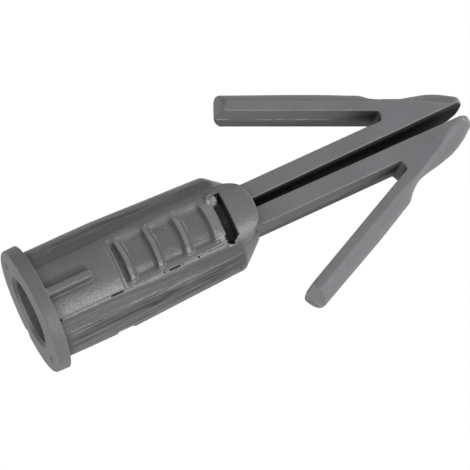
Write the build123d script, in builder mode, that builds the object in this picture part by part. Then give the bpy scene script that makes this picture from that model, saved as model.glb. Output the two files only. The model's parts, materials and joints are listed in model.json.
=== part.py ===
"""Nylon wall anchor with two spring barbs, for a 10 mm drilled hole.

The anchor is one moulding that works by bending at its thin places. Each length of it between
two bending places is a body of its own here, with a round knuckle where it bends.

Frame: X runs along the anchor into the wall, Z is up through the grip tongue, Y points to the
left barb. The origin is on the axis, at the underside of the collar, so it lies in the wall face.
"""

import os
from math import acos, atan2, cos, hypot, radians, sin, tan

from build123d import *

# ---- driving sizes, mm and degrees ----
barrel_diameter = 9.9  # under the collar
land_diameter = 9.8  # on the parallel stretch from the fins to the tongues
land_gap = 0.2  # from the fin's end to the parallel stretch
nose_diameter = 8.86  # where the barrel meets the nose
barrel_length = 17.4  # collar underside to nose
nose_length = 2.5
nose_tip_diameter = 4.9  # small end of the nose's cone, at the legs' bending lines
nose_crown = 0.8  # how far each panel's end bows out
nose_corner_round = 0.9

collar_diameter = 11.5
collar_thickness = 1.3
collar_draft = 0.05  # the collar is this much smaller at its face
collar_front_round = 0.18
collar_back_round = 0.08
mouth_diameter = 6.6
bore_diameter = 6.0  # as far as the tongues
pilot_diameter = 4.2  # where the bore enters the nose
pilot_end_diameter = 2.6
pilot_depth = 1.1
mark_offset = 4.45  # the collar's two dimples, from the axis
mark_diameter = 0.56
mark_depth = 0.18

panel_width = 5.3  # raised panel round each tongue, from the collar to the nose's end
relief_width = 1.0  # shallow relief along either side of each panel
relief_depth = 0.085

fin_length = 4.3
fin_width = 0.74
fin_height = 0.7
fin_round = 0.12

tongue_root = 6.75  # position of the tongue's bending line
tongue_knuckle_radius = 0.4
tongue_knuckle_height = 3.5
tongue_root_width = 4.6
tongue_end_width = 4.1
tongue_root_gap = 0.25  # from the bending line to the tongue's end face
groove_gap = 0.15  # from the bending line to the barrel's end face
slit = 0.15  # on either side of the tongue
window = 0.8  # open slot past the tongue's free end
wedge_gap_root = 2.6  # tongue's inner corner height, at the root
wedge_gap_end = 1.6

rib_count = 4
rib_root_gap = 0.5  # from the bending line to the first rib
rib_end_gap = 0.56  # from the last rib to the tongue's free end
rib_width = 0.6
rib_slope = 0.15
rib_height = 0.45
rib_angle = 25.6  # half the arc the ribs cover

fork_thickness = 6.08
leg_width = 1.6
leg_gap = 0.8  # between the legs, at the nose
leg_spread = 0.5  # angle of each leg's inner side, outward
leg_length = 13.4
leg_seat_depth = 0.3  # bending line, in from the nose's end
head_length = 7.9
head_nose_radius = 5.1  # the tip's round end, seen from the side
# half sections of the arrowhead: back from the tip, offset of the flat face, offset at mid-height
head_sections = (
    (7.9, 3.85, 3.90),
    (5.6, 3.15, 3.48),
    (3.6, 2.12, 3.12),
    (2.3, 1.25, 2.75),
    (1.0, 0.76, 2.05),
    (-0.1, 0.68, 1.20),
)
crown_back = (0.65, 0.87)  # where the tip's round corner starts and ends, back from the tip
crown_offset = (1.02, 1.95)  # of the tip and of its outer corner, from the middle plane
neck_angle = 34.6
neck_wall = 0.1  # skin left round the barb's seat at the neck
crotch_fillet = 0.6

barb_angle = 25.4
barb_length = 14.5
barb_thickness = 1.95
barb_face = 0.92  # flat top of the barb, across its thickness
barb_inset = 0.545  # barb's inner side, inward of the bending line
barb_knuckle_radius = 0.7
barb_pivot_offset = 3.06
barb_pivot_back = 6.6  # bending line, back from the tip
barb_taper = 1.96  # where the barb reaches its full thickness
barb_end_round = 0.45
barb_end_drop = 0.8
crotch_angle = 95.0  # where the knuckle's seat ends, from the barb

clearance = 0.03  # round each knuckle
socket_play = 0.05  # above and below each leg in the nose
overcut = 1.0  # how far a cutting shape reaches past what it cuts

# ---- worked out from the sizes above ----
barrel_root = barrel_diameter / 2
land = land_diameter / 2
nose = nose_diameter / 2
nose_end = barrel_length + nose_length
nose_corner = nose_end - nose_crown
half_fork = fork_thickness / 2
leg_middle = (leg_gap + leg_width) / 2
leg_pivot = nose_end - leg_seat_depth
head_root = leg_pivot + leg_length
tip = head_root + head_length
barb_pivot = tip - barb_pivot_back
leg_outside = leg_middle + leg_width / 2
lean_back = radians(barb_angle)
neck_reach = barb_knuckle_radius + neck_wall
tongue_end = barrel_length - window
tongue_face = tongue_root + tongue_root_gap
groove_face = tongue_root - groove_gap
land_start = fin_length + land_gap
slope = (land - nose) / (barrel_length - groove_face)
relief_middle = (panel_width + relief_width) / 2
rib_start = tongue_root + rib_root_gap
rib_end = tongue_end - rib_end_gap
rib_pitch = (rib_end - rib_width - rib_start) / (rib_count - 1)

crotch_turn = radians(180 - barb_angle + crotch_angle)
crotch = (
    barb_pivot + (barb_knuckle_radius + clearance) * cos(crotch_turn),
    barb_pivot_offset + (barb_knuckle_radius + clearance) * sin(crotch_turn),
)
# where the barb's outer taper touches its knuckle
taper_out = barb_thickness - barb_inset
taper_reach = hypot(barb_taper, taper_out)
taper_turn = atan2(taper_out, barb_taper) + acos(barb_knuckle_radius / taper_reach)
neck_tangent = (barb_knuckle_radius * cos(taper_turn), barb_knuckle_radius * sin(taper_turn))
barb_root = (barb_pivot, barb_pivot_offset, 0)
barb_along = (-cos(lean_back), sin(lean_back), 0)
barb_outward = (sin(lean_back), cos(lean_back), 0)
barb_plane = Plane(origin=barb_root, x_dir=barb_outward, z_dir=barb_along)
barb_side = Plane(origin=barb_root, x_dir=barb_along, z_dir=barb_outward)


def tapered(x):
    """Barrel radius at x, on the taper."""
    return land - slope * (x - groove_face)


def surface(x):
    """Radius at x, from the collar to the nose's end."""
    if x < land_start:
        return barrel_root + (land - barrel_root) * x / land_start
    return max(min(tapered(x), land), nose)


def stations(start, stop):
    """Every x from start to stop at which the barrel's outline bends."""
    bends = (land_start, groove_face, barrel_length)
    return [start, *(x for x in bends if start < x < stop), stop]


def plan_half_width(x):
    """Half the tongue's width at x."""
    t = (x - tongue_root) / (tongue_end - tongue_root)
    return (tongue_root_width + (tongue_end_width - tongue_root_width) * t) / 2


def core(start, stop, depth=0.0):
    """Outline of all that lies deeper than depth in the barrel's surface, to revolve about X."""
    with BuildSketch(Plane.XZ) as outline:
        with BuildLine():
            Polyline(
                (start, 0),
                *((x, surface(x) - depth) for x in stations(start, stop)),
                (stop, 0),
                close=True,
            )
        make_face()
    return outline.sketch


def hollow():
    """Outline of the screw's way through the barrel, to revolve about X."""
    with BuildSketch(Plane.XZ) as outline:
        with BuildLine():
            Polyline(
                (0, 0),
                (0, bore_diameter / 2),
                (groove_face, bore_diameter / 2),
                (barrel_length, pilot_diameter / 2),
                (barrel_length, 0),
                close=True,
            )
        make_face()
    return outline.sketch


def rib_outline(start, stop, proud, lean=0.0):
    """Outline of a rib, or of the pocket, turned back by half the ribs' arc."""
    with BuildSketch(Plane.XZ.rotated((-rib_angle, 0, 0))) as outline:
        with BuildLine():
            Polyline(
                (start - lean, tapered(start - lean) - rib_height),
                (start, tapered(start) + proud),
                (stop, tapered(stop) + proud),
                (stop, tapered(stop) - rib_height),
                close=True,
            )
        make_face()
    return outline.sketch


def leg_inside(x):
    """Distance of the leg's inner side from the middle plane, at x."""
    return leg_gap / 2 + (x - leg_pivot) * tan(radians(leg_spread))


def around_pivot(reach, angle):
    """Point at a distance and an angle from the barb's bending line."""
    return (barb_pivot + reach * cos(angle), barb_pivot_offset + reach * sin(angle))


def on_barb(along, out):
    """Point given along the barb from its bending line, and outward from it."""
    return (
        barb_pivot - along * cos(lean_back) + out * sin(lean_back),
        barb_pivot_offset + along * sin(lean_back) + out * cos(lean_back),
    )


# ---- collar ----
with BuildPart() as collar:
    with BuildSketch(Plane.XZ):
        with BuildLine():
            Polyline(
                (-collar_thickness, mouth_diameter / 2),
                (-collar_thickness, collar_diameter / 2 - collar_draft),
                (0, collar_diameter / 2),
                (0, bore_diameter / 2),
                ((mouth_diameter - bore_diameter) / 2 - collar_thickness, bore_diameter / 2),
                close=True,
            )
        make_face()
    revolve(axis=Axis.X)
    rims = collar.edges().filter_by(GeomType.CIRCLE).sort_by(Edge.radius)[-2:].sort_by(Axis.X)
    fillet(rims[0], radius=collar_front_round)
    back_rim = collar.edges().filter_by(GeomType.CIRCLE).sort_by(Edge.radius)[-1]
    fillet(back_rim, radius=collar_back_round)
    with BuildSketch(Plane.YZ.offset(-collar_thickness)):
        with Locations((mark_offset, 0), (-mark_offset, 0)):
            Circle(mark_diameter / 2)
    extrude(amount=mark_depth, mode=Mode.SUBTRACT)

# ---- what the shallow relief takes from the barrel's surface ----
with BuildPart() as relief:
    with BuildSketch(Plane.YZ):
        with Locations((relief_middle, 0), (-relief_middle, 0)):
            Rectangle(relief_width, 2 * (land + overcut))
    extrude(amount=barrel_length)
    revolve(core(-overcut, barrel_length + overcut, relief_depth), axis=Axis.X, mode=Mode.SUBTRACT)

# ---- barrel: tapered tube with a window for each tongue ----
with BuildPart() as barrel:
    revolve(core(0, barrel_length), axis=Axis.X)
    revolve(hollow(), axis=Axis.X, mode=Mode.SUBTRACT)
    add(relief.part, mode=Mode.SUBTRACT)
    for side in (Plane.XY, Plane.XY.rotated((180, 0, 0))):
        with BuildSketch(side):
            with BuildLine():
                Polyline(
                    (groove_face, plan_half_width(groove_face) + slit),
                    (barrel_length, plan_half_width(barrel_length) + slit),
                    (barrel_length, -plan_half_width(barrel_length) - slit),
                    (groove_face, -plan_half_width(groove_face) - slit),
                    close=True,
                )
            make_face()
        extrude(amount=land, mode=Mode.SUBTRACT)
    with BuildSketch(Plane.XZ):
        with Locations((tongue_root, tongue_knuckle_height), (tongue_root, -tongue_knuckle_height)):
            Circle(tongue_knuckle_radius + clearance)
    extrude(amount=plan_half_width(tongue_root) + slit, both=True, mode=Mode.SUBTRACT)

# ---- nose: a cone between the ends of the panels; it closes the barrel and carries the legs ----
with BuildPart() as nose_block:
    with BuildSketch(Plane.XY) as panel:
        with BuildLine():
            Polyline(
                (nose_corner, -panel_width / 2),
                (barrel_length, -panel_width / 2),
                (barrel_length, panel_width / 2),
                (nose_corner, panel_width / 2),
            )
            ThreePointArc(
                (nose_corner, panel_width / 2),
                (nose_end, 0),
                (nose_corner, -panel_width / 2),
            )
        make_face()
        fillet(panel.vertices().sort_by(Axis.X)[-2:], radius=nose_corner_round)
    extrude(amount=nose, both=True)
    with BuildSketch(Plane.YZ.offset(barrel_length)):
        Circle(nose)
    extrude(amount=nose_length, mode=Mode.INTERSECT)
    with BuildSketch(Plane.XZ):
        with BuildLine():
            Polyline(
                (barrel_length, 0),
                (barrel_length, nose),
                (leg_pivot, nose_tip_diameter / 2),
                (leg_pivot, 0),
                close=True,
            )
        make_face()
    revolve(axis=Axis.X)
    with BuildSketch(Plane.XZ):
        with BuildLine():
            Polyline(
                (barrel_length, 0),
                (barrel_length, pilot_diameter / 2),
                (barrel_length + pilot_depth, pilot_end_diameter / 2),
                (barrel_length + pilot_depth, 0),
                close=True,
            )
        make_face()
    revolve(axis=Axis.X, mode=Mode.SUBTRACT)
    with BuildSketch(Plane.YZ.offset(barrel_length)):
        Rectangle(leg_gap, pilot_end_diameter)
    extrude(amount=nose_length, mode=Mode.SUBTRACT)
    with BuildSketch(Plane.XY):
        for side in (1, -1):
            with Locations((leg_pivot, side * leg_middle)):
                Circle(leg_width / 2 + clearance)
        with Locations((nose_end, 0)):
            Rectangle(2 * (nose_end - leg_pivot), 2 * leg_middle + leg_width + 2 * clearance)
    extrude(amount=half_fork + socket_play, both=True, mode=Mode.SUBTRACT)

# ---- fin: keeps the anchor from turning ----
with BuildPart() as fin_upper:
    with BuildSketch(Plane.XY):
        with Locations((fin_length / 2 - fin_width / 4, 0)):
            Rectangle(fin_length - fin_width / 2, fin_width)
        with Locations((fin_length - fin_width / 2, 0)):
            Circle(fin_width / 2)
    extrude(amount=barrel_root + fin_height)
    top_edges = fin_upper.faces().sort_by(Axis.Z)[-1].edges()
    fillet(top_edges.sort_by(Axis.X)[1:], radius=fin_round)
    revolve(core(-overcut, fin_length + overcut), axis=Axis.X, mode=Mode.SUBTRACT)

# ---- tongue: pushed out by the screw ----
with BuildPart() as tongue_upper:
    revolve(core(tongue_face, tongue_end), axis=Axis.X)
    with BuildSketch(Plane.XY):
        with BuildLine():
            Polyline(
                (tongue_root, plan_half_width(tongue_root)),
                (tongue_end, plan_half_width(tongue_end)),
                (tongue_end, -plan_half_width(tongue_end)),
                (tongue_root, -plan_half_width(tongue_root)),
                close=True,
            )
        make_face()
    extrude(amount=land, mode=Mode.INTERSECT)
    with BuildSketch(Plane.XZ):
        with BuildLine():
            Polyline(
                (tongue_root, -overcut),
                (tongue_root, wedge_gap_root),
                (tongue_end, wedge_gap_end),
                (tongue_end, -overcut),
                close=True,
            )
        make_face()
    extrude(amount=land, both=True, mode=Mode.SUBTRACT)
    revolve(hollow(), axis=Axis.X, mode=Mode.SUBTRACT)
    with BuildSketch(Plane.XZ):
        with Locations((tongue_root, tongue_knuckle_height)):
            Circle(tongue_knuckle_radius)
    extrude(amount=plan_half_width(tongue_face), both=True)
    pocket = rib_outline(tongue_face - overcut, rib_end, overcut)
    revolve(pocket, axis=Axis.X, revolution_arc=2 * rib_angle, mode=Mode.SUBTRACT)

# ---- grip ribs: they stand in the tongue's pocket ----
ribs_upper = []
for number in range(rib_count):
    start = rib_start + number * rib_pitch
    with BuildPart() as rib:
        rib_side = rib_outline(start, start + rib_width, 0, rib_slope)
        revolve(rib_side, axis=Axis.X, revolution_arc=2 * rib_angle)
    ribs_upper.append(rib)

# ---- leg ----
with BuildPart() as leg_left:
    with BuildSketch(Plane.XY.offset(-half_fork)):
        with BuildLine():
            Polyline(
                (leg_pivot, leg_gap / 2),
                (head_root, leg_inside(head_root)),
                (head_root, leg_outside),
                (leg_pivot, leg_outside),
                close=True,
            )
        make_face()
        with Locations((leg_pivot, leg_middle)):
            Circle(leg_width / 2)
    extrude(amount=fork_thickness)

# ---- arrowhead: round on its outer side, flat above and below ----
with BuildPart() as head_left:
    for back, face_offset, middle_offset in head_sections:
        with BuildSketch(Plane.YZ.offset(tip - back)):
            with BuildLine():
                Polyline(
                    (face_offset, -half_fork),
                    (leg_inside(tip - back), -half_fork),
                    (leg_inside(tip - back), half_fork),
                    (face_offset, half_fork),
                )
                ThreePointArc((face_offset, -half_fork), (middle_offset, 0), (face_offset, half_fork))
            make_face()
    loft()
    with BuildSketch(Plane.XY):
        inner = tip - crown_back[0]
        corner = (tip - crown_back[1], crown_offset[1])
        neck = around_pivot(neck_reach, radians(neck_angle))
        with BuildLine():
            Polyline(
                (head_root, leg_outside),
                (head_root, leg_inside(head_root)),
                (inner, leg_inside(inner)),
            )
            ThreePointArc((inner, leg_inside(inner)), (tip, crown_offset[0]), corner)
            Polyline(corner, (corner[0], neck[1]), neck, around_pivot(0, 0), crotch)
            ThreePointArc(
                crotch,
                (crotch[0] - crotch_fillet / 3, leg_outside + crotch_fillet / 6),
                (crotch[0] - crotch_fillet, leg_outside),
            )
            Line((crotch[0] - crotch_fillet, leg_outside), (head_root, leg_outside))
        make_face()
    extrude(amount=half_fork, both=True, mode=Mode.INTERSECT)
    with BuildSketch(Plane.XZ):
        with Locations((tip - head_nose_radius, 0)):
            Circle(head_nose_radius)
        with Locations((tip - head_nose_radius - head_length / 2, 0)):
            Rectangle(head_length, fork_thickness)
    extrude(amount=2 * barb_pivot_offset, both=True, mode=Mode.INTERSECT)
    with BuildSketch(Plane.XY.offset(-half_fork)):
        with Locations((barb_pivot, barb_pivot_offset)):
            Circle(barb_knuckle_radius + clearance)
    extrude(amount=fork_thickness, mode=Mode.SUBTRACT)

# ---- barb: springs out behind the wall ----
with BuildPart() as barb_left:
    with BuildSketch(barb_plane):
        with BuildLine():
            Polyline(
                (barb_face - barb_inset, -half_fork),
                (-barb_inset, -half_fork),
                (-barb_inset, half_fork),
                (barb_face - barb_inset, half_fork),
            )
            ThreePointArc(
                (barb_face - barb_inset, -half_fork),
                (barb_thickness - barb_inset, 0),
                (barb_face - barb_inset, half_fork),
            )
        make_face()
    extrude(amount=barb_length)
    with BuildSketch(Plane.XY.offset(-half_fork)) as barb_plan:
        with BuildLine():
            Polyline(
                on_barb(0, -barb_inset),
                on_barb(barb_length, -barb_inset),
                on_barb(barb_length, barb_thickness - barb_inset),
                on_barb(barb_taper, barb_thickness - barb_inset),
                on_barb(*neck_tangent),
                on_barb(0, 0),
                close=True,
            )
        make_face()
        far = barb_plan.vertices().sort_by_distance(on_barb(barb_length, 0) + (-half_fork,))[:2]
        fillet(far, radius=barb_end_round)
    extrude(amount=fork_thickness, mode=Mode.INTERSECT)
    with BuildSketch(barb_side):
        with Locations(((barb_length - overcut) / 2, 0)):
            RectangleRounded(barb_length + overcut, fork_thickness, barb_end_drop)
    extrude(amount=2 * barb_thickness, both=True, mode=Mode.INTERSECT)
    with BuildSketch(Plane.XY.offset(-half_fork)):
        with Locations((barb_pivot, barb_pivot_offset)):
            Circle(barb_knuckle_radius)
    extrude(amount=fork_thickness)

# ---- the other halves ----
def mirrored(piece, plane):
    """The same piece on the other side of a plane."""
    with BuildPart() as copy:
        mirror(piece.part, about=plane)
    return copy


pieces = {
    "collar": collar,
    "barrel": barrel,
    "nose": nose_block,
    "fin_upper": fin_upper,
    "fin_lower": mirrored(fin_upper, Plane.XY),
    "tongue_upper": tongue_upper,
    "tongue_lower": mirrored(tongue_upper, Plane.XY),
    "leg_left": leg_left,
    "leg_right": mirrored(leg_left, Plane.XZ),
    "head_left": head_left,
    "head_right": mirrored(head_left, Plane.XZ),
    "barb_left": barb_left,
    "barb_right": mirrored(barb_left, Plane.XZ),
}
for number, rib in enumerate(ribs_upper, start=1):
    pieces[f"rib_upper_{number}"] = rib
    pieces[f"rib_lower_{number}"] = mirrored(rib, Plane.XY)

# ---- write every piece ----
os.makedirs("parts", exist_ok=True)
for name, piece in pieces.items():
    piece.part.label = name
    export_step(piece.part, f"parts/{name}.step")
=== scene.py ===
import json
import math

import bpy
import numpy as np
from mathutils import Matrix, Vector

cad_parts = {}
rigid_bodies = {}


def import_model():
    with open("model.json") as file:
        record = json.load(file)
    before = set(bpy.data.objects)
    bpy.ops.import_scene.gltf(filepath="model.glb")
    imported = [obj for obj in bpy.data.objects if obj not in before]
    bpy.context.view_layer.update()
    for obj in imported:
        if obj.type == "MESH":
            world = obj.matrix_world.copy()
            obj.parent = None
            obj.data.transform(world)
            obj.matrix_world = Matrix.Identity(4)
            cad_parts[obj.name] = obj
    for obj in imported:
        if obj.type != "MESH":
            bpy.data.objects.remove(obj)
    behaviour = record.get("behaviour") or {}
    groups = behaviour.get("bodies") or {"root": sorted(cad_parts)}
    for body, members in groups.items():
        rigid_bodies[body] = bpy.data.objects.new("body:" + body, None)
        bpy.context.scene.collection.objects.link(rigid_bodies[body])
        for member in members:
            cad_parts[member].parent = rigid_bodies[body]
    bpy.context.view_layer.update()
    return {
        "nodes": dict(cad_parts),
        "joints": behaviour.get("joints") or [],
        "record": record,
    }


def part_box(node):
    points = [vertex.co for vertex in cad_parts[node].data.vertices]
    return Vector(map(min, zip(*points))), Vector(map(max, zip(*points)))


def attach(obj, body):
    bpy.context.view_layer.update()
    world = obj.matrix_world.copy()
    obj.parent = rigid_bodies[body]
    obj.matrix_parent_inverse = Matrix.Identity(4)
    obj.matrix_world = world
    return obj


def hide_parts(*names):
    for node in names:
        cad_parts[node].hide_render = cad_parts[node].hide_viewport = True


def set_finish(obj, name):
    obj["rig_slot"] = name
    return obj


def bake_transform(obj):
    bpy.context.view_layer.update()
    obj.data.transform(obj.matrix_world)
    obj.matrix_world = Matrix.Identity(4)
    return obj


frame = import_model()

# Lengths are millimetres in the part's own frame, and become metres as a mesh or a node is made.
MM = 0.001
CELL = 0.08  # grid step of the surfaces


def box_mm(node):
    low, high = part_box(node)
    return np.array(low) / MM, np.array(high) / MM


def pivot_mm(joint):
    found = [j for j in frame["joints"] if j["name"] == joint][0]
    return np.array(found["pos_m"]) / MM


# ---------------------------------------------------------------- measures of the CAD model
collar_low, collar_high = box_mm("collar")
barrel_high = box_mm("barrel")[1]
nose_high = box_mm("nose")[1]
fin_high = box_mm("fin_upper")[1]
tongue_high = box_mm("tongue_upper")[1]
leg_high = box_mm("leg_left")[1]
head_high = box_mm("head_left")[1]
barb_low, barb_high = box_mm("barb_left")
rib_boxes = [box_mm(f"rib_upper_{n}") for n in range(1, 5)]
tongue_pivot = pivot_mm("tongue_upper_bend")
leg_pivot = pivot_mm("leg_left_bend")
barb_pivot = pivot_mm("barb_left_fold")
wall_hole = [m for m in frame["record"]["mounts"] if m["name"] == "wall_hole"][0]

FACE = collar_low[0]  # the collar's outer face
COLLAR_R = collar_high[2] - 0.016
ROOT_R = barrel_high[1]  # the barrel's radius under the collar
LAND_R = wall_hole["dims"]["r_mm"]  # and on its parallel stretch
LAND = 4.5  # where the parallel stretch begins
ROOT = 6.6  # where the barrel's taper and the tongues' groove begin
BARREL_END = barrel_high[0]
NOSE_R = nose_high[2]
NOSE_END = nose_high[0]
HALF_FORK = leg_high[2]  # half the thickness of the legs, head and barbs
LEG_OUT = leg_high[1]
HEAD_ROOT = leg_high[0]
TIP = head_high[0]
BARB_LEAN = math.radians(25.4)


# ---------------------------------------------------------------- surfaces from distance fields
def f32(values):
    return np.asarray(values, dtype=np.float32)


def rounded_max(a, b, r):
    """Intersection of two fields with its edge rounded to r."""
    u = np.maximum(a + r, 0)
    v = np.maximum(b + r, 0)
    return np.minimum(np.maximum(a, b), -r) + np.sqrt(u * u + v * v)


def rounded_min(a, b, r):
    """Union of two fields with its corner filled to r."""
    return -rounded_max(-a, -b, r)


def step(x, low, high):
    """0 below low, 1 above high, smooth between."""
    t = np.clip((x - low) / (high - low), 0, 1)
    return t * t * (3 - 2 * t)


def plateau(x, start, full, fade, end):
    """0 up to start, 1 from full to fade, and 0 again from end."""
    return step(x, start, full) * (1 - step(x, fade, end))


def gauss(x, middle, width):
    return np.exp(-(((x - middle) / width) ** 2))


def curve(x, points):
    """Smooth curve through (x, y) points, flat beyond its ends."""
    xs, ys = f32([p[0] for p in points]), f32([p[1] for p in points])
    slopes = np.gradient(ys, xs)
    x = np.clip(x, xs[0], xs[-1])
    i = np.clip(np.searchsorted(xs, x) - 1, 0, len(xs) - 2)
    h = xs[i + 1] - xs[i]
    t = (x - xs[i]) / h
    return (
        ys[i] * (1 + 2 * t) * (1 - t) ** 2
        + slopes[i] * h * t * (1 - t) ** 2
        + ys[i + 1] * t * t * (3 - 2 * t)
        + slopes[i + 1] * h * t * t * (t - 1)
    )


def wobble(seed, size, scale, stretch=(1, 1, 1), waves=7):
    """A smooth seeded unevenness of about the given size, in waves of about the given length."""
    rng = np.random.default_rng(seed)
    direction = rng.normal(size=(waves, 3))
    direction /= np.linalg.norm(direction, axis=1)[:, None]
    k = direction * (2 * np.pi / scale) * rng.uniform(0.6, 1.7, size=(waves, 1)) / np.array(stretch)
    phase = rng.uniform(0, 2 * np.pi, waves)
    k, phase = f32(k), f32(phase)

    def field(x, y, z):
        total = 0
        for (a, b, c), p in zip(k, phase):
            total = total + np.sin(a * x + b * y + c * z + p)
        return total * f32(size / math.sqrt(waves / 2))

    return field


def sampled(field, axes):
    """The field's values on a grid, a few slices at a time to save memory."""
    slices = 24
    value = np.empty([len(a) for a in axes], np.float32)
    y, z = axes[1][None, :, None], axes[2][None, None, :]
    for i in range(0, len(axes[0]), slices):
        value[i : i + slices] = field(axes[0][i : i + slices, None, None], y, z)
    return value


def surface_net(value, start, cell):
    """Points and four-sided faces of the surface that parts the grid's negative values from the rest."""
    inside = value < 0
    ids, places = [], []
    for axis in range(3):
        b, c = [(1, 2), (2, 0), (0, 1)][axis]
        near = [slice(None)] * 3
        far = [slice(None)] * 3
        near[axis], far[axis] = slice(None, -1), slice(1, None)
        cross = np.array(np.nonzero(inside[tuple(near)] != inside[tuple(far)]))
        here = tuple(cross)
        there = list(here)
        there[axis] = there[axis] + 1
        v0, v1 = value[here], value[tuple(there)]
        point = cross.T.astype(np.float32) * cell + start
        point[:, axis] += cell * v0 / (v0 - v1)
        around = []
        for db, dc in ((0, 0), (1, 0), (1, 1), (0, 1)):
            corner = cross.copy()
            corner[b] -= db
            corner[c] -= dc
            around.append(np.ravel_multi_index(tuple(corner), value.shape))
        around = np.array(around)
        flip = v0 >= 0
        around[:, flip] = around[::-1, flip]
        ids.append(around.T.ravel())
        places.append(np.repeat(point, 4, axis=0))
    places = np.concatenate(places)
    _, back = np.unique(np.concatenate(ids), return_inverse=True)
    count = back.max() + 1
    number = np.bincount(back, minlength=count)
    points = np.stack([np.bincount(back, places[:, i], count) / number for i in range(3)], axis=1)
    return f32(points), back.reshape(-1, 4).astype(np.int32)


def settled(points, offset, cell):
    """The points moved on to the surface where offset is zero, by three of Newton's steps."""
    reach = np.float32(0.012)
    for _ in range(3):
        d = offset(points)
        slope = np.stack(
            [(offset(points + f32(np.eye(3)[i]) * reach) - d) / reach for i in range(3)], axis=1
        )
        size = np.maximum((slope**2).sum(axis=1), 0.2)
        move = -slope * (np.clip(d, -cell, cell) / size)[:, None]
        points = points + np.clip(move, -0.6 * cell, 0.6 * cell)
    return points


def mesh_object(name, points, faces):
    mesh = bpy.data.meshes.new(name)
    mesh.vertices.add(len(points))
    mesh.vertices.foreach_set("co", (points * MM).astype(np.float32).ravel())
    mesh.loops.add(faces.size)
    mesh.loops.foreach_set("vertex_index", faces.ravel())
    mesh.polygons.add(len(faces))
    mesh.polygons.foreach_set("loop_start", np.arange(0, faces.size, 4, dtype=np.int32))
    mesh.polygons.foreach_set("use_smooth", np.ones(len(faces), bool))
    mesh.update()
    mesh.validate()
    obj = bpy.data.objects.new(name, mesh)
    bpy.context.scene.collection.objects.link(obj)
    return obj


def surface_mesh(name, field, low, high, detail=None, cell=CELL):
    """Closed mesh of the surface where field is zero. detail, in millimetres outward, is added to it."""
    axes = [
        np.arange(l - 2.4 * cell, u + 3.4 * cell, cell, dtype=np.float32) for l, u in zip(low, high)
    ]
    start = f32([a[0] for a in axes])
    points, faces = surface_net(sampled(field, axes), start, cell)

    def offset(p):
        d = field(p[:, 0], p[:, 1], p[:, 2])
        return d - detail(p[:, 0], p[:, 1], p[:, 2]) if detail else d

    return mesh_object(name, settled(points, offset, cell), faces)


# ---------------------------------------------------------------- the sleeve
MOUTH_R, MOUTH_DEPTH = 3.3, 0.3
BORE_R = 3.0
PILOT_R, PILOT_TIP_R, PILOT_DEPTH = 2.1, 1.3, 1.1
SLIT = (0.8, 2.6)  # width and height of the slit that ends the screw's way
UNDER_COLLAR = -0.8  # the barrel starts inside the collar
CONE_SLOPE = 0.83  # of the nose
CONE_LEAD = 0.03  # the cone starts this much before the barrel's end, and sooner on the left
PANEL_START = 12.0  # from here on the panel is a form of its own, over the cone
PANEL_BOW, PANEL_CORNER_R = 5.0, 1.25  # its end and its corners, seen from above
RELIEF_CRISP, RELIEF_SOFT = 0.11, 0.07  # depth on the left and on the right
FIN_HALF, FIN_FLARE, FIN_OFF = 0.38, 0.2, 0.07  # half width at the top, widening by height, shift
WINDOW_START, WINDOW_END = ROOT - 0.12, BARREL_END + 0.08
DIMPLE_AT, DIMPLE_R = 4.45, 0.3  # the two round dimples in the collar's face
TORN_AT, TORN_SIZE, TORN_DEPTH = (16.76, -2.08), (0.5, 0.42), 2.5
# half the width of the raised panel that runs from the collar to the nose's end
PANEL = ((0, 2.54), (5, 2.56), (8, 2.66), (10, 2.75), (14, 2.79), (18, 2.78), (20, 2.7))


def barrel_radius(x):
    taper = LAND_R - (LAND_R - NOSE_R) / (BARREL_END - ROOT) * (x - ROOT)
    first = ROOT_R - (ROOT_R - LAND_R) * np.clip(x / LAND, 0, 1)
    return np.minimum(first, np.clip(taper, NOSE_R, LAND_R))


def hollow_radius(x):
    """Radius of the screw's way, from the mouth to the end of the pilot."""
    way = (
        (FACE, MOUTH_R),
        (FACE + MOUTH_DEPTH, BORE_R),
        (ROOT, BORE_R),
        (BARREL_END, PILOT_R),
        (BARREL_END + PILOT_DEPTH, PILOT_TIP_R),
    )
    return np.interp(x, [p[0] for p in way], [p[1] for p in way]).astype(np.float32)


def tongue_half_width(x):
    t = (x - tongue_pivot[0]) / (tongue_high[0] - tongue_pivot[0])
    return 2.3 - 0.25 * t


def relief(x, y):
    """Depth of the shallow relief beside the panels. It is softer on the right."""
    edge = curve(x, PANEL)
    away = np.abs(y)
    crisp = RELIEF_CRISP * plateau(away, edge - 0.01, edge + 0.14, 3.2, 4.3)
    soft = RELIEF_SOFT * plateau(away, edge - 0.05, edge + 0.3, 3.2, 3.95)
    return np.where(y > 0, crisp, soft)


def torn(x, y):
    """The ragged hole at one end of the window's slot, seen from above, as about a distance."""
    dx, dy = x - TORN_AT[0], y - TORN_AT[1]
    turn = np.arctan2(dy, dx)
    edge = 1 + 0.16 * np.sin(3 * turn + 0.6) + 0.12 * np.sin(5 * turn + 2.1) + 0.07 * np.sin(9 * turn)
    return (np.hypot(dx / TORN_SIZE[0], dy / TORN_SIZE[1]) - edge) * 0.36


def barrel_and_nose(x, y, z, r):
    skin = barrel_radius(x)
    start = BARREL_END - CONE_LEAD - CONE_LEAD * y
    cone = NOSE_R - (x - start) * CONE_SLOPE
    body = r - (skin - relief(x, y))
    # 0.77 is about the cosine of the cone's angle, and makes its field a distance
    body = rounded_max(body, (r - cone) * 0.77, 0.16)
    body = rounded_max(body, x - NOSE_END + 0.16, 0.25)
    body = rounded_max(body, UNDER_COLLAR - x, 0.05)
    # the panel goes on over the cone to the nose's end
    bow = np.sqrt(np.maximum(x - (NOSE_END - PANEL_BOW), 0) ** 2 + y * y) - PANEL_BOW
    plan = rounded_max(np.abs(y) - curve(x, PANEL), bow, PANEL_CORNER_R)
    band = rounded_max(r - skin, plan, 0.16)
    band = rounded_max(band, PANEL_START - x, 0.05)
    return rounded_min(body, band, 0.1)


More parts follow.
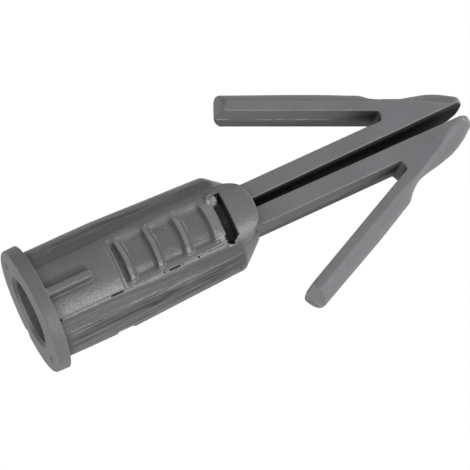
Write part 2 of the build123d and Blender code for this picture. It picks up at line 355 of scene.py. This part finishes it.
def collar(x, r):
    rim = r - (COLLAR_R - 0.05 + 0.05 * (x - FACE) / -FACE)
    return rounded_max(rounded_max(rim, FACE - x, 0.2), x, 0.1)


def fins(x, y, z):
    """Both fins. They widen toward the foot, and the upper one sits a little to the left."""
    spread = FIN_HALF + FIN_FLARE * (fin_high[2] - np.abs(z))
    off = np.where(z > 0, y - FIN_OFF, y)
    plan = np.sqrt(np.maximum(x - fin_high[0] + spread, 0) ** 2 + off**2) - spread
    return rounded_max(rounded_max(plan, np.abs(z) - fin_high[2], 0.22), -0.6 - x, 0.05)


def screw_way(x, y, z, r):
    bore = np.maximum(r - hollow_radius(x), x - BARREL_END - PILOT_DEPTH)
    slit = np.maximum(np.abs(y) - SLIT[0] / 2, np.abs(z) - SLIT[1] / 2)
    return np.minimum(bore, slit)


def sleeve_field(x, y, z):
    r = np.sqrt(y * y + z * z)
    solid = rounded_min(barrel_and_nose(x, y, z, r), collar(x, r), 0.14)
    solid = rounded_min(solid, fins(x, y, z), 0.1)
    ends = np.maximum(WINDOW_START - x, x - WINDOW_END)
    window = np.maximum(np.abs(y) - tongue_half_width(x), ends)
    solid = rounded_max(solid, -window, 0.02)
    solid = rounded_max(solid, -screw_way(x, y, z, r), 0.05)
    solid = rounded_max(solid, -np.maximum(torn(x, y), TORN_DEPTH - z), 0.05)
    dimple = np.sqrt((x - FACE) ** 2 + (np.abs(y) - DIMPLE_AT) ** 2 + z * z) - DIMPLE_R
    return rounded_max(solid, -dimple, 0.05)


# the sleeve's small marks, with depths in millimetres, and turns in degrees from the top
MARKED = (0.05, 0.3, 17.0, 17.6)  # the stretch that isn't quite even
STREAKS_TURN, STREAKS_SPREAD = -58.0, 13.0
SEAM_Y, SEAM_WIDTH, SEAM_DEPTH = -2.38, 0.06, 0.03
CREASE_X, CREASE_WIDTH, CREASE_DEPTH = ROOT - 0.14, 0.07, 0.03
SINK_X, SINK_TURN, SINK_DEPTH = (4.9, 5.15, 6.45, 6.8), (83.0, 92.0, 107.0, 118.0), 0.11
LIP_AT, LIP_R, LIP_HEIGHT = (16.7, -2.2), 0.5, 0.05
NICK_TURN, NICK_WIDTH, NICK_DEPTH = 7.0, 2.2, 0.16  # from the bottom

rough_band = wobble(5, 0.007, 0.3, (22, 1, 1), 9)
uneven = wobble(6, 0.005, 3.2, (2, 1, 1), 7)
fine = wobble(7, 0.0012, 0.36, (2, 1, 1), 13)


def bend_line(x, turn):
    """The fine crease across the tongue's root."""
    return CREASE_DEPTH * gauss(x, CREASE_X, CREASE_WIDTH) * (1 - step(np.abs(turn), 28.0, 30.0))


def sleeve_detail(x, y, z):
    """The moulding's small marks: drawn streaks, a seam, a sink, a raised lip and a nick in the rim."""
    turn = np.degrees(np.arctan2(y, z))
    marked = plateau(x, *MARKED)
    on_top = step(z, 3.0, 3.4)
    out = (uneven(x, y, z) + fine(x, y, z)) * marked
    out = out + rough_band(x, y, z) * gauss(turn, STREAKS_TURN, STREAKS_SPREAD) * marked
    seam = gauss(y, SEAM_Y, SEAM_WIDTH) * on_top * marked * (1 - step(x, 15.9, 16.2))
    out = out - SEAM_DEPTH * seam
    out = out - bend_line(x, turn)
    out = out - SINK_DEPTH * plateau(-turn, *SINK_TURN) * plateau(x, *SINK_X)
    from_lip = np.hypot(x - LIP_AT[0], y - LIP_AT[1]) - LIP_R
    out = out + LIP_HEIGHT * gauss(from_lip, 0.0, 0.1) * step(-y, 2.3, 2.45) * on_top
    rim_turn = np.degrees(np.arctan2(-y, -z))
    nick = gauss(rim_turn, NICK_TURN, NICK_WIDTH) * step(-x, 0.75, 1.2) * step(np.hypot(y, z), 5.0, 5.4)
    return out - NICK_DEPTH * nick


sleeve = surface_mesh(
    "sleeve", sleeve_field, (FACE, -COLLAR_R, -COLLAR_R), (NOSE_END, COLLAR_R, COLLAR_R), sleeve_detail
)
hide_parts("collar", "barrel", "nose", "fin_upper", "fin_lower")
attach(sleeve, "sleeve")
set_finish(sleeve, "nylon")


# ---------------------------------------------------------------- tongues
RIB_TOPS = [(low[0] + 0.12, high[0] - 0.27) for low, high in rib_boxes]
RIB_FOOT = 0.5  # length of a rib's slope
POCKET = 0.4  # depth between the ribs, and where the pockets lie
POCKET_TURN = (-29.0, -20.0, 18.0, 28.0)
POCKET_X = (ROOT + 0.12, ROOT + 0.3, RIB_TOPS[-1][1] - 0.1, RIB_TOPS[-1][1] + 0.1)
IN_SLEEVE = 0.07  # the tongue's sides run this far into the sleeve
TONGUE_START = ROOT - 0.2
TONGUE_END = tongue_high[0] - 0.15
TONGUE_FLOOR = 1.5  # no lower than the thin end's underside
UNDERSIDE = 2.6  # height of a tongue's underside at its root, which falls by 1 to its end
CHUNK_AT, CHUNK_SIZE = (16.5, 1.6, 4.05), (0.6, 0.6, 0.34)

ragged = wobble(10, 0.02, 1.6, (1, 1, 1), 7)


def ribs_at(x, y, z, turn):
    """1 on top of the bowed, ragged ribs and 0 between them."""
    bowed = x - 0.13 * (1 - np.minimum(np.abs(turn) / 25, 1) ** 2) + ragged(x, y, z)
    ribs = 0
    for low, high in RIB_TOPS:
        rise = np.clip((bowed - low) / RIB_FOOT + 1, 0, 1) ** 2.6
        fall = np.clip(1 - (bowed - high) / RIB_FOOT, 0, 1) ** 2.6
        ribs = np.maximum(ribs, np.minimum(rise, fall))
    return ribs * (1 - step(-turn, 22.0, 28.5))


def chunk_field(x, y, z):
    """The torn chunk that hangs on the upper tongue's end."""
    parts = [((v - at) / size) ** 2 for v, at, size in zip((x, y, z), CHUNK_AT, CHUNK_SIZE)]
    return (np.sqrt(parts[0] + parts[1] + parts[2]) - 1) * 0.35


def tongue_field(side):
    def field(x, y, z):
        z = z * side
        r = np.sqrt(y * y + z * z)
        turn = np.degrees(np.arctan2(y, z))
        pocket = POCKET * plateau(turn, *POCKET_TURN) * plateau(x, *POCKET_X)
        solid = r - (barrel_radius(x) - pocket * (1 - ribs_at(x, y, z, turn)))
        side_wall = np.abs(y) - tongue_half_width(x) - IN_SLEEVE
        solid = rounded_max(solid, side_wall, 0.02)
        solid = rounded_max(solid, np.maximum(TONGUE_START - x, x - TONGUE_END), 0.03)
        wedge = UNDERSIDE - (x - tongue_pivot[0]) * (1.0 / (tongue_high[0] - tongue_pivot[0])) - z
        solid = np.maximum(solid, wedge)
        solid = np.maximum(solid, hollow_radius(x) - r)
        if side > 0:
            solid = rounded_min(solid, chunk_field(x, y, z), 0.06)
            solid = rounded_max(solid, -np.maximum(torn(x, y), TORN_DEPTH - z), 0.05)
        return solid

    return field


tongue_grain = wobble(8, 0.007, 0.9, (1.5, 1, 1), 9)
crumb = wobble(9, 0.08, 0.3, (1, 1, 1), 9)


def tongue_detail(x, y, z):
    """Grain, the crease at the root, and the crumbled chunk."""
    loose = gauss(np.sqrt((x - 16.5) ** 2 + (y - 1.55) ** 2 + (z - 4.0) ** 2), 0, 0.5)
    turn = np.degrees(np.arctan2(y, np.abs(z)))
    return tongue_grain(x, y, z) + crumb(x, y, z) * loose - bend_line(x, turn)


for name, side in (("tongue_upper", 1), ("tongue_lower", -1)):
    low, high = np.array(box_mm(name))
    low[0], high[0] = TONGUE_START, tongue_high[0] + 0.5
    low[2], high[2] = sorted((side * TONGUE_FLOOR, side * LAND_R))
    piece = surface_mesh(name + "_ribbed", tongue_field(side), low, high, tongue_detail, 0.7 * CELL)
    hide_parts(name, *[f"rib_{name[7:]}_{n}" for n in range(1, 5)])
    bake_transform(piece)
    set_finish(piece, "nylon")


# ---------------------------------------------------------------- legs, head and barbs
EDGE_R = 0.14  # rounding of the fork's flat faces
OVERLAP = 0.8  # how far one length runs into the next
CROTCH_R = 0.32
TIP_R = 0.6
NOSE_SIDE_R = 5.1  # the head's rounding, seen from the side
# half the head's width by the distance back from its tip, at its flat faces and at mid-height
HEAD_FACE = ((-0.1, 0.68), (1.0, 0.76), (2.3, 1.25), (3.6, 2.12), (5.6, 3.15), (7.9, 3.85))
HEAD_MIDDLE = ((-0.1, 1.2), (1.0, 2.05), (2.3, 2.75), (3.6, 3.12), (5.6, 3.48), (7.9, 3.9))
# a barb's outer side by the distance along it from its pivot, at its flat faces and at mid-height
BARB_FACE = ((-1.2, 0.3), (0.0, 0.45), (0.9, 0.5), (2.0, 0.39), (3.0, 0.375), (14.5, 0.375))
BARB_MIDDLE = ((-1.2, 0.5), (0.0, 0.74), (1.1, 1.0), (2.0, 1.36), (3.0, 1.405), (14.5, 1.405))
BARB_UNDER = 0.545  # depth of a barb's inner side
# degrees that a barb stands out, its length, and how much its end falls back at the corners
BARB_SHAPE = {1: (24.7, 14.6, 0.55), -1: (25.1, 14.22, 0.22)}


def leg_inner(x):
    return 0.4 + (x - leg_pivot[0]) * math.tan(math.radians(0.5))


def flash(z):
    return 0.02 * np.exp(-((z / 0.09) ** 2))


def inner_draft(x, z, side):
    """How far an inner side stands in. The slot leans, narrows downward and has flash at mid-height."""
    wanted = np.maximum(0.05, 0.035 + 0.0175 * (x - 27.0))
    room = 0.37 - 0.0125 * (x - leg_pivot[0])  # so that the heads don't meet when the legs close
    narrowing = np.minimum(wanted, room)
    slant = 0.06 * side * z / HALF_FORK
    return narrowing * (1 - z / HALF_FORK) / 2 - slant + flash(z)


def outer_draft(z):
    share = np.abs(z) / HALF_FORK
    return 0.05 * (1 - share) + 0.02 * np.exp(-((share / 0.03) ** 2))


def leg_plan(x, y, z, side):
    return rounded_max(y - LEG_OUT - outer_draft(z), leg_inner(x) - inner_draft(x, z, side) - y, 0.02)


def flat_sides(plan, z):
    return rounded_max(plan, np.abs(z) - HALF_FORK, EDGE_R)


def crowned(out, z, face, middle):
    """A side that bulges from face, at its edges, to middle, at mid-height."""
    bulge = np.maximum(middle - face, 0.05)
    arc = (bulge**2 + HALF_FORK**2) / (2 * bulge)
    return np.sqrt((out - middle + arc) ** 2 + z * z) - arc


def leg_field(side):
    def field(x, y, z):
        inset = 0.02 * step(x, HEAD_ROOT - 0.05, HEAD_ROOT + 0.45)
        ends = np.maximum(leg_pivot[0] - OVERLAP - x, x - HEAD_ROOT - OVERLAP)
        return np.maximum(flat_sides(leg_plan(x, y * side, z, side), z) + inset, ends)

    return field


def half_head(x, y, z, side, along):
    back = TIP - x
    outer = crowned(y, z, curve(back, HEAD_FACE), curve(back, HEAD_MIDDLE))
    inner = leg_inner(x) - inner_draft(x, z, side) - y
    past = np.maximum(x - (TIP - TIP_R), 0)
    tip = np.sqrt(past**2 + np.maximum(np.abs(y - 1.05) - 0.1, 0) ** 2) - TIP_R
    crown = np.where(x > TIP - TIP_R, tip, -1.0)
    nose_side = np.sqrt(np.maximum(x - (TIP - NOSE_SIDE_R), 0) ** 2 + z * z) - NOSE_SIDE_R
    head = rounded_max(outer, inner, 0.1)
    head = rounded_max(head, crown, 0.1)
    head = rounded_max(head, nose_side, 0.15)
    return rounded_max(head, along - 0.45, 0.3)


def barb_field(along, out, z, reach, crown_end):
    outside = crowned(out, z, curve(along, BARB_FACE), curve(along, BARB_MIDDLE)) - flash(z)
    under = -BARB_UNDER - outer_draft(z) - out
    barb = rounded_max(outside, under, 0.12)
    cap = along - reach + crown_end * (np.abs(z) / HALF_FORK) ** 2.5
    barb = rounded_max(barb, cap, 0.33)
    return np.maximum(barb, -1.2 - along)


def head_field(side):
    degrees, reach, crown_end = BARB_SHAPE[side]
    lean = math.radians(degrees)

    def field(x, y, z):
        y = y * side
        dx, dy = x - barb_pivot[0], y - barb_pivot[1]
        along = -dx * math.cos(lean) + dy * math.sin(lean)
        out = dx * math.sin(lean) + dy * math.cos(lean)
        stub = leg_plan(x, y, z, side)
        stub = np.maximum(stub, np.maximum(HEAD_ROOT - OVERLAP - x, x - HEAD_ROOT - 2.5))
        solid = rounded_min(half_head(x, y, z, side, along), stub, 0.05)
        solid = rounded_min(solid, barb_field(along, out, z, reach, crown_end), CROTCH_R)
        # the stub sinks just below the leg that it runs into
        inset = 0.02 * step(-x, -HEAD_ROOT - 0.05, -HEAD_ROOT + 0.45)
        return flat_sides(solid, z) + inset * (1 - step(y, LEG_OUT + 0.1, LEG_OUT + 0.5))

    return field


def mirrored_box(low, high, side):
    low, high = np.array(low, float), np.array(high, float)
    if side < 0:
        low[1], high[1] = -high[1], -low[1]
    return low, high


for name, side in (("left", 1), ("right", -1)):
    low = (leg_pivot[0] - OVERLAP, 0.2, -HALF_FORK)
    high = (HEAD_ROOT + OVERLAP, LEG_OUT + 0.1, HALF_FORK)
    leg = surface_mesh("shank_" + name, leg_field(side), *mirrored_box(low, high, side))
    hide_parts("leg_" + name)
    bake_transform(leg)
    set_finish(leg, "nylon")
    low = (barb_low[0] - 0.2, 0.3, -HALF_FORK)
    high = (TIP, barb_high[1] + 0.4, HALF_FORK)
    arm = surface_mesh("barbed_head_" + name, head_field(side), *mirrored_box(low, high, side))
    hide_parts("head_" + name, "barb_" + name)
    along = np.array((-math.cos(BARB_LEAN), side * math.sin(BARB_LEAN), 0))
    root = np.array((barb_pivot[0], side * barb_pivot[1], 0))
    bend_start, bend_end = tuple((root + along * 0.75) * MM), tuple((root + along * 2.0) * MM)
    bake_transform(arm)
    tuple(bend_start)
    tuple(bend_end)
    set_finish(arm, "nylon")


# ---------------------------------------------------------------- material
class Tree:
    """A material's node tree, with a method for each kind of step. Its lengths are in millimetres."""

    def __init__(self, material):
        self.nodes, self.links = material.node_tree.nodes, material.node_tree.links
        where = self.nodes.new("ShaderNodeTexCoord")
        self.place = where.outputs["Object"]
        self.x, self.y, self.z = self.parts(self.place)
        facing = self.parts(where.outputs["Normal"])
        self.forward = facing[0]
        self.away = self.math("ABSOLUTE", self.y)
        self.height = self.math("ABSOLUTE", self.z)
        squares = self.plus(self.math("POWER", self.y, 2.0), self.math("POWER", self.z, 2.0))
        self.radius = self.math("SQRT", squares)
        self.outward = self.times(facing[1], self.math("SIGN", self.y))
        # 1 on upright sides, 0 on level ones
        self.upright = self.rest(self.times(facing[2], facing[2]))

    def parts(self, vector):
        node = self.nodes.new("ShaderNodeSeparateXYZ")
        self.links.new(vector, node.inputs["Vector"])
        return node.outputs["X"], node.outputs["Y"], node.outputs["Z"]

    def math(self, operation, a, b=0.0, clamp=False):
        node = self.nodes.new("ShaderNodeMath")
        node.operation = operation
        node.use_clamp = clamp
        for socket, value in zip(node.inputs, (a, b)):
            if isinstance(value, (int, float)):
                socket.default_value = value
            else:
                self.links.new(value, socket)
        return node.outputs["Value"]

    def times(self, product, *others):
        for other in others:
            product = self.math("MULTIPLY", product, other)
        return product

    def plus(self, a, b):
        return self.math("ADD", a, b)

    def rest(self, mask):
        """1 where the mask is 0, and 0 where it is 1."""
        return self.math("SUBTRACT", 1.0, mask)

    def most(self, largest, *others):
        for other in others:
            largest = self.math("MAXIMUM", largest, other)
        return largest

    def scaled(self, value, factor, start):
        """A straight line: start where value is 0, and factor up for each 1."""
        return self.plus(self.times(value, factor), start)

    def over(self, value, low, high, unit=MM):
        """0 below low and 1 above high."""
        node = self.nodes.new("ShaderNodeMapRange")
        node.interpolation_type = "SMOOTHSTEP"
        node.inputs["From Min"].default_value = low * unit
        node.inputs["From Max"].default_value = high * unit
        self.links.new(value, node.inputs["Value"])
        return node.outputs["Result"]

    def under(self, value, low, high, unit=MM):
        """1 below low and 0 above high."""
        return self.rest(self.over(value, low, high, unit))

    def plateau(self, value, start, full, fade, end):
        """0 up to start, 1 from full to fade, and 0 again from end."""
        return self.times(self.over(value, start, full), self.under(value, fade, end))

    def noise(self, scale, detail, vector=None):
        node = self.nodes.new("ShaderNodeTexNoise")
        node.inputs["Scale"].default_value = scale
        node.inputs["Detail"].default_value = detail
        self.links.new(vector or self.place, node.inputs["Vector"])
        return node.outputs["Fac"]

    def patch(self, centre, half, soft):
        """1 inside a small box about centre."""
        sides = []
        for value, middle, reach, fade in zip((self.x, self.y, self.z), centre, half, soft):
            off = self.math("ABSOLUTE", self.math("SUBTRACT", value, middle * MM))
            sides.append(self.under(off, reach - fade, reach + fade))
        return self.times(*sides)


# the nylon's two tones, each with its place in the ramp
GREYS = ((0.3, (0.122, 0.1215, 0.127, 1)), (0.7, (0.142, 0.1415, 0.148, 1)))
# painted shade where the seam beside the upper tongue has opened in places: the middle and half the length
# of each
SEAM_GAPS = ((5.67, 0.58), (11.18, 0.52), (10.2, 0.06), (13.5, 0.08))
# other painted dark marks, a spot at the collar and the shade of a pit in the flank: middle and half size
PITS = (((0.28, -2.44, 4.3), (0.1, 0.1, 0.5)), ((16.95, -4.32, 1.0), (0.09, 0.5, 0.12)))
# stress-whitened places at the torn hole: middle, half size, softness
WHITENED = (((16.5, 1.65, 4.1), (0.35, 0.4, 0.4), 0.25), ((16.75, -2.62, 3.7), (0.4, 0.09, 0.3), 0.08))
# a painted sheen on the panel beside the fin, and a painted shadow at the fin's foot: middle, half size,
# softness
PAINTED_PANEL_SHEEN = ((4.0, -1.8, 4.4), (3.0, 0.6, 1.0), (1.2, 0.45, 0.3))
PAINTED_FIN_SHADOW = ((2.2, -0.62, 4.6), (2.4, 0.22, 0.8), (0.5, 0.18, 0.3))
# pale specks
SLEEVE_SPECKS = ((2.05, 3.49, 3.37), (12.0, 1.05, 4.2), (13.3, 1.04, 4.15))
HEAD_SPECKS = ((36.4, 2.2, 3.04), (37.2, -1.5, 3.04))


def lit_side_walls(tree):
    """The side walls of the collar, nose, head and barbs, painted lighter as light from the sides makes
    them.
    """
    fork_side = tree.times(tree.over(tree.x, 17.4, 17.8), tree.over(tree.away, 2.1, 2.4))
    zone = tree.most(fork_side, tree.under(tree.x, -0.1, 0.1), tree.over(tree.x, 33.3, 34.5))
    return tree.times(zone, tree.over(tree.outward, -0.4, 0.0, 1), tree.upright)


def hollow_shade(tree):
    """Painted shade in the slot between the legs and inside the windows' slots."""
    between_legs = tree.times(tree.over(tree.x, 19.8, 20.2), tree.under(tree.away, 0.65, 0.8))
    between_legs = tree.times(between_legs, tree.under(tree.outward, -0.8, -0.5, 1))
    in_window = tree.times(tree.plateau(tree.x, 6.6, 6.8, 17.3, 17.45), tree.under(tree.radius, 3.9, 4.05))
    return tree.most(between_legs, in_window)


def seam_and_pit_shade(tree):
    """Painted shade in the open places of the seam and in the pits."""
    marks = [((at, SEAM_Y - 0.01, 4.1), (run, 0.08, 0.5)) for at, run in SEAM_GAPS]
    marks += PITS
    return [tree.patch(at, half, (0.1 if half[0] > 0.1 else 0.03, 0.03, 0.05)) for at, half in marks]


def specks(tree, places):
    return [tree.patch(at, (0.06, 0.06, 0.3), (0.03, 0.03, 0.05)) for at in places]


def bore_light(tree, mottle):
    """Painted light on the wall behind the mouth, where light from outside comes in, mottled."""
    bore = tree.times(tree.plateau(tree.x, -1.3, -0.8, 4.5, 6.6), tree.under(tree.radius, 3.05, 3.4))
    return tree.times(bore, tree.scaled(tree.over(mottle, 0.4, 0.7, 1), 0.5, 0.6))


def rib_light_and_shade(tree):
    """Painted light on the ribs' tops and painted shade in the troughs between them."""
    slope = 0.0435  # of the barrel's taper
    skin = tree.scaled(tree.x, -slope, (LAND_R + slope * ROOT) * MM)
    above_skin = tree.math("SUBTRACT", tree.radius, skin)
    ribbed = tree.times(tree.plateau(tree.x, 6.7, 7.1, 16.1, 16.5), tree.under(tree.away, 1.7, 2.2))
    return tree.times(ribbed, tree.scaled(tree.over(above_skin, -0.3, -0.05), 0.36, -0.17))


def lit_edges(tree, fork):
    """Painted highlight on the fork's rounded upper and lower edges, where they face the slot and the
    barbs.
    """
    edge = tree.times(tree.over(tree.height, HALF_FORK - 0.17, HALF_FORK - 0.1), fork)
    edge = tree.times(edge, tree.over(tree.upright, 0.04, 0.2, 1), tree.under(tree.upright, 0.85, 0.97, 1))
    leg_side = tree.times(tree.under(tree.away, 2.5, 2.8), tree.under(tree.x, 32, 33))
    return tree.times(edge, tree.most(tree.under(tree.outward, -0.1, 0.1, 1), leg_side))


def crotch_shade(tree):
    """Painted shade on the walls of the crotch between a leg and its barb."""
    root = tree.times(tree.over(tree.x, 30.5, 32.5), tree.under(tree.forward, -0.3, 0.1, 1))
    return tree.times(root, tree.upright, tree.under(tree.away, 3.8, 4.4))


def flash_glint(tree, fork, hollow_shades):
    """Painted glint along the broken flash line where the mould's halves met. It is stronger on the left
    barb.
    """
    line = tree.times(tree.under(tree.height, 0.1, 0.2), fork, tree.over(tree.noise(700, 3), 0.36, 0.66, 1))
    return tree.times(line, tree.rest(hollow_shades), tree.scaled(tree.over(tree.y, 3.5, 4.5), 1.3, 1.2))


def shaded_lower_sides(tree, fork, lit_sides):
    """Painted shade on the fork's sides below mid-height, but for the lit side walls."""
    below = tree.times(tree.under(tree.z, -0.9, -0.1), fork, tree.upright, tree.upright)
    return tree.times(below, tree.math("SUBTRACT", 1.0, lit_sides, True))


def corner_shade(tree):
    """Painted shade by how open a place is: dark in the corners."""
    corner = tree.nodes.new("ShaderNodeAmbientOcclusion")
    corner.samples = 12
    corner.inputs["Distance"].default_value = 1.1 * MM
    return tree.scaled(tree.over(corner.outputs["AO"], 0.35, 1.0, 1), 0.42, 0.575)


def drawn_streaks(tree):
    """Fine lines along the sleeve's flanks, and where they are."""
    stretched = tree.nodes.new("ShaderNodeMapping")
    stretched.inputs["Scale"].default_value = (0.05, 1, 1)
    tree.links.new(tree.place, stretched.inputs["Vector"])
    zone = tree.times(tree.plateau(tree.x, 0.2, 0.8, 15, 18), tree.over(tree.away, 3.4, 3.7))
    return tree.noise(4200, 2, stretched.outputs["Vector"]), zone


def nylon():
    mat = bpy.data.materials.new("moulded_nylon")
    mat.use_nodes = True
    tree = Tree(mat)
    shader = tree.nodes["Principled BSDF"]
    cloud, mottle = tree.noise(260, 4), tree.noise(3300, 2)
    streak, streak_zone = drawn_streaks(tree)
    fork = tree.over(tree.x, 19.8, 20.2)
    # painted light: the side walls lighter, as lit from the sides
    lit_sides = lit_side_walls(tree)
    # painted shade in the slot between the legs and in the windows' slots
    hollow_shades = hollow_shade(tree)
    seam_and_pit_shades = seam_and_pit_shade(tree)
    edge_highlights = lit_edges(tree, fork)
    shown_hollow_shades = tree.times(hollow_shades, tree.rest(edge_highlights))

    # each mark with how much it lightens the nylon, or darkens it when below 0
    marks = [(lit_sides, 0.65), (bore_light(tree, mottle), 1.0), (rib_light_and_shade(tree), 1.0), (edge_highlights, 0.5)]
    marks += [(seam, -0.95) for seam in seam_and_pit_shades]
    for at, half, soft in WHITENED:
        white = tree.patch(at, half, (soft, soft, soft))
        marks.append((tree.times(white, tree.over(mottle, 0.35, 0.6, 1)), 1.4))
    marks += [(speck, 1.0) for speck in specks(tree, SLEEVE_SPECKS)]
    marks += [(speck, 0.4) for speck in specks(tree, HEAD_SPECKS)]
    # painted sheen beside the fin and painted shadow at its foot
    marks.append((tree.times(tree.patch(*PAINTED_PANEL_SHEEN), tree.over(mottle, 0.3, 0.6, 1)), 0.28))
    marks.append((tree.patch(*PAINTED_FIN_SHADOW), -0.2))
    marks += [(crotch_shade(tree), -0.55), (flash_glint(tree, fork, shown_hollow_shades), 1.0)]
    marks += [(shaded_lower_sides(tree, fork, lit_sides), -0.4), (shown_hollow_shades, -0.8)]

    streak_tone = tree.times(tree.plus(streak, -0.5), streak_zone, 2.7)
    shade = tree.plus(tree.scaled(tree.plus(mottle, -0.5), 0.22, 1.0), streak_tone)
    for mark, strength in marks:
        shade = tree.times(shade, tree.scaled(mark, strength, 1.0))
    # painted shade in the corners and hollows
    shade = tree.times(shade, corner_shade(tree))
    ramp = tree.nodes.new("ShaderNodeValToRGB")
    for element, (position, colour) in zip(ramp.color_ramp.elements, GREYS):
        element.position, element.color = position, colour
    tree.links.new(cloud, ramp.inputs["Fac"])
    tone = tree.nodes.new("ShaderNodeVectorMath")
    tone.operation = "SCALE"
    tree.links.new(ramp.outputs["Color"], tone.inputs[0])
    tree.links.new(shade, tone.inputs["Scale"])
    tree.links.new(tone.outputs["Vector"], shader.inputs["Base Color"])

    grain = tree.plus(tree.noise(6500, 2), tree.times(mottle, 0.7))
    bump = tree.nodes.new("ShaderNodeBump")
    bump.inputs["Strength"].default_value = 0.75
    bump.inputs["Distance"].default_value = 0.03 * MM
    tree.links.new(tree.plus(grain, tree.times(streak, streak_zone, 3.0)), bump.inputs["Height"])
    tree.links.new(bump.outputs["Normal"], shader.inputs["Normal"])

    # the barrel is glossier than the collar and the fork, and the seams and hollows are matt
    polish = tree.plateau(tree.x, 0.2, 1.2, 18.2, 21.5)
    rough = tree.plus(tree.scaled(cloud, 0.14, 0.44), tree.times(polish, -0.14))
    matt = tree.times(tree.most(hollow_shades, *seam_and_pit_shades), 0.5)
    tree.links.new(tree.math("ADD", rough, matt, True), shader.inputs["Roughness"])
    return mat


material = nylon()
for obj in bpy.data.objects:
    if obj.type == "MESH" and "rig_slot" in obj:
        obj.data.materials.append(material)
for node in frame["nodes"].values():
    for i in range(len(node.data.materials)):
        node.data.materials[i] = material

# ---------------------------------------------------------------- light and camera
# elevation in degrees and brightness: the lit table below, the dark room at eye level, soft boxes above
SKY = (
    (-90, 0.03), (-76, 0.05), (-67, 0.7), (-46, 0.75), (-35, 0.1), (-11, 0.03),
    (5, 0.06), (17, 0.4), (38, 0.6), (62, 0.45), (90, 1.0),
)
SKY_TILT = math.radians(6)

scene = bpy.context.scene
scene.view_settings.view_transform = "Standard"


def sky_brightness(nodes, links):
    """The room's light by elevation, about an axis that leans a little from the upright."""
    toward = nodes.new("ShaderNodeTexCoord")
    tilt = nodes.new("ShaderNodeVectorMath")
    tilt.operation = "DOT_PRODUCT"
    tilt.inputs[1].default_value = (0, -math.sin(SKY_TILT), math.cos(SKY_TILT))
    links.new(toward.outputs["Generated"], tilt.inputs[0])
    height = nodes.new("ShaderNodeMath")
    height.operation = "ARCSINE"
    links.new(tilt.outputs["Value"], height.inputs[0])
    share = nodes.new("ShaderNodeMapRange")
    share.inputs["From Min"].default_value = -math.pi / 2
    share.inputs["From Max"].default_value = math.pi / 2
    links.new(height.outputs["Value"], share.inputs["Value"])
    sky = nodes.new("ShaderNodeValToRGB")
    elements = sky.color_ramp.elements
    own = {-90: 0, 90: -1}  # the ramp comes with a point at each of its ends
    for at, bright in SKY:
        place = (at + 90) / 180
        spot = elements[own[at]] if at in own else elements.new(place)
        spot.position = place
        spot.color = (bright, bright, bright, 1)
    links.new(share.outputs["Result"], sky.inputs["Fac"])
    return sky.outputs["Color"]


def white_room():
    """White to the camera, and a studio with soft boxes to everything else."""
    world = bpy.data.worlds.new("white_room")
    scene.world = world
    world.use_nodes = True
    nodes, links = world.node_tree.nodes, world.node_tree.links
    paper = nodes["Background"]
    paper.inputs["Color"].default_value = (1, 1, 1, 1)
    paper.inputs["Strength"].default_value = 1.0
    room = nodes.new("ShaderNodeBackground")
    room.inputs["Strength"].default_value = 1.0
    links.new(sky_brightness(nodes, links), room.inputs["Color"])
    path = nodes.new("ShaderNodeLightPath")
    choose = nodes.new("ShaderNodeMixShader")
    links.new(path.outputs["Is Camera Ray"], choose.inputs["Fac"])
    links.new(room.outputs["Background"], choose.inputs[1])
    links.new(paper.outputs["Background"], choose.inputs[2])
    links.new(choose.outputs["Shader"], nodes["World Output"].inputs["Surface"])


def soft_light(name, toward, size, watts, distance=0.25, aim=(0.015, 0, 0)):
    data = bpy.data.lights.new(name, "AREA")
    data.shape = "DISK"
    data.size = size
    data.energy = watts
    lamp = bpy.data.objects.new(name, data)
    scene.collection.objects.link(lamp)
    direction = Vector(toward).normalized()
    lamp.location = Vector(aim) + direction * distance
    lamp.rotation_mode = "QUATERNION"
    lamp.rotation_quaternion = (-direction).to_track_quat("-Z", "Y")


def aim_camera(target, azimuth, elevation, roll, distance, lens):
    """A camera that looks at target from the given direction, turned by roll about its own axis."""
    level = Vector((math.cos(azimuth), math.sin(azimuth), 0))
    ahead = Vector((-math.sin(azimuth), math.cos(azimuth), 0))
    back = -ahead * math.cos(elevation) + Vector((0, 0, math.sin(elevation)))
    right = level * math.cos(roll) + back.cross(level) * math.sin(roll)
    data = bpy.data.cameras.new("camera")
    data.sensor_width = 36
    data.lens = lens
    data.clip_start, data.clip_end = 0.01, 10
    camera = bpy.data.objects.new("camera", data)
    scene.collection.objects.link(camera)
    turn = Matrix((right, back.cross(right), back)).transposed()
    camera.matrix_world = Matrix.Translation(target + back * distance) @ turn.to_4x4()
    scene.camera = camera


white_room()
soft_light("key", (0.18, -0.64, 0.74), 0.08, 0.3)
soft_light("fill", (0.68, 0.5, 0.55), 0.08, 0.2)
soft_light("collar_side", (-1.0, -0.1, -0.06), 0.12, 0.28)
soft_light("point_side", (0.93, -0.36, -0.05), 0.12, 0.25)
aim_camera(
    Vector((18.1, -1.2, -1.0)) * MM,
    azimuth=math.radians(-50.96),
    elevation=math.radians(76.36),
    roll=math.radians(25.52),
    distance=0.6288,
    lens=555.7,
)
